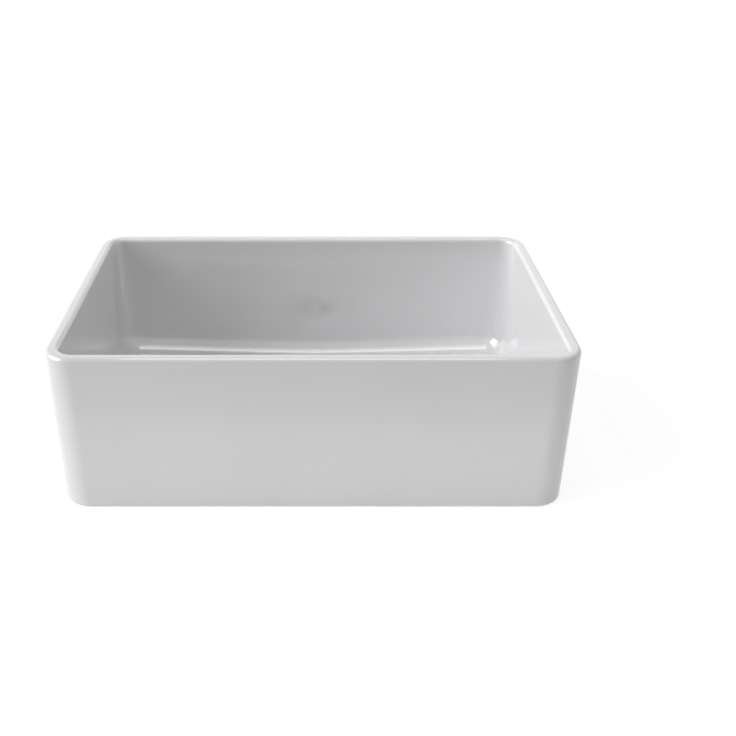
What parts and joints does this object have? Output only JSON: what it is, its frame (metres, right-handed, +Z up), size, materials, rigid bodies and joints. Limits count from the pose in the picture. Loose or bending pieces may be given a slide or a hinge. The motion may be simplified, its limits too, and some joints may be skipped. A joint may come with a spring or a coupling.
{
  "type": "farmhouse apron sink",
  "caption": "White fireclay farmhouse sink with a plain apron in front, a recessed panel apron behind, and a basket strainer drain whose basket lifts out.",
  "frame": {"origin": "middle of the underside, on the plane of the flat foot that the cabinet carries, on the drain axis", "axes": "+X to the right along the width, -Y out of the plain front apron, +Z up"},
  "size_m": [0.762, 0.483, 0.4132],
  "materials": {
    "white_glaze": "gloss white glaze over fireclay",
    "sealing_foam": "soft matt ring",
    "drawn_steel": "satin drawn stainless",
    "black_rubber": "matt black",
    "fibre_board": "pressed fibre",
    "cast_nut": "as cast",
    "raw_brass": "turned",
    "white_nylon": "moulded",
    "chrome_tube": "bright plated",
    "chrome_nut": "plated casting",
    "basket_steel": "satin pressed stainless",
    "stem_steel": "turned stainless",
    "polished_steel": "polished",
    "spring_steel": "spring wire"
  },
  "bodies": {
    "sink": {"basin": "white_glaze", "flange_seal": "sealing_foam", "strainer_body": "drawn_steel", "under_gasket": "black_rubber", "friction_ring": "fibre_board", "lock_nut": "cast_nut", "outlet_spud": "raw_brass", "tailpiece_washer": "white_nylon", "tailpiece": "chrome_tube", "coupling_nut": "chrome_nut"},
    "basket": {"basket_cup": "basket_steel", "basket_post": "stem_steel", "basket_knob": "polished_steel", "basket_spacer": "white_nylon", "basket_stopper": "black_rubber", "basket_washer": "stem_steel", "basket_nut": "stem_steel", "basket_snap_ring": "spring_steel"}
  },
  "joints": [
    {"name": "basket_lift", "type": "slide", "parent": "sink", "child": "basket", "axis": [0, 0, 1], "range_m": [0, 0.3]}
  ]
}
